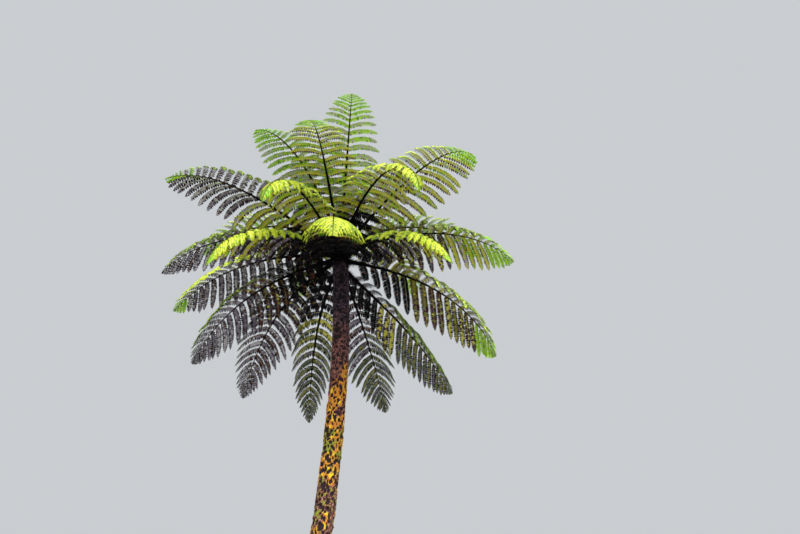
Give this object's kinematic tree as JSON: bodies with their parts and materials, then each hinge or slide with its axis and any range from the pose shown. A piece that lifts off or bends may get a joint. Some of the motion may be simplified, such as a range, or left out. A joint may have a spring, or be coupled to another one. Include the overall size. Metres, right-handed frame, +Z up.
{
  "type": "tree fern",
  "caption": "Tall tree fern: a slender, slightly leaning scaly trunk with a dark heart and a wide crown of long arching fronds.",
  "frame": {"origin": "middle of the flat cut under the trunk, at ground level", "axes": "+Z up, the reference view looks along +Y, the trunk leans a little towards +X"},
  "size_m": [6.4878, 6.3192, 10.7587],
  "materials": {
    "bark": "rough fibrous bark with leaf scars",
    "scales": "matt dark scales",
    "frond": "semi-matt green leaf"
  },
  "bodies": {
    "root": {"trunk": "bark", "crown_heart": "scales", "frond_01_lower": "frond", "frond_01_outer": "frond", "frond_02_lower": "frond", "frond_02_outer": "frond", "frond_03_lower": "frond", "frond_03_outer": "frond", "frond_04_lower": "frond", "frond_04_outer": "frond", "frond_05_lower": "frond", "frond_05_outer": "frond", "frond_06_lower": "frond", "frond_06_outer": "frond", "frond_07_lower": "frond", "frond_07_outer": "frond", "frond_08_lower": "frond", "frond_08_outer": "frond", "frond_09_lower": "frond", "frond_09_outer": "frond", "frond_10_lower": "frond", "frond_10_outer": "frond", "frond_11_lower": "frond", "frond_11_outer": "frond", "frond_12_lower": "frond", "frond_12_outer": "frond", "frond_13_lower": "frond", "frond_13_outer": "frond", "frond_14_lower": "frond", "frond_14_outer": "frond", "frond_15_lower": "frond", "frond_15_outer": "frond", "frond_16_lower": "frond", "frond_16_outer": "frond", "frond_17_lower": "frond", "frond_17_outer": "frond", "frond_18_lower": "frond", "frond_18_outer": "frond", "frond_19_lower": "frond", "frond_19_outer": "frond", "frond_20_lower": "frond", "frond_20_outer": "frond", "frond_21_lower": "frond", "frond_21_outer": "frond", "frond_22_lower": "frond", "frond_22_outer": "frond", "frond_23_lower": "frond", "frond_23_outer": "frond"}
  },
  "joints": []
}
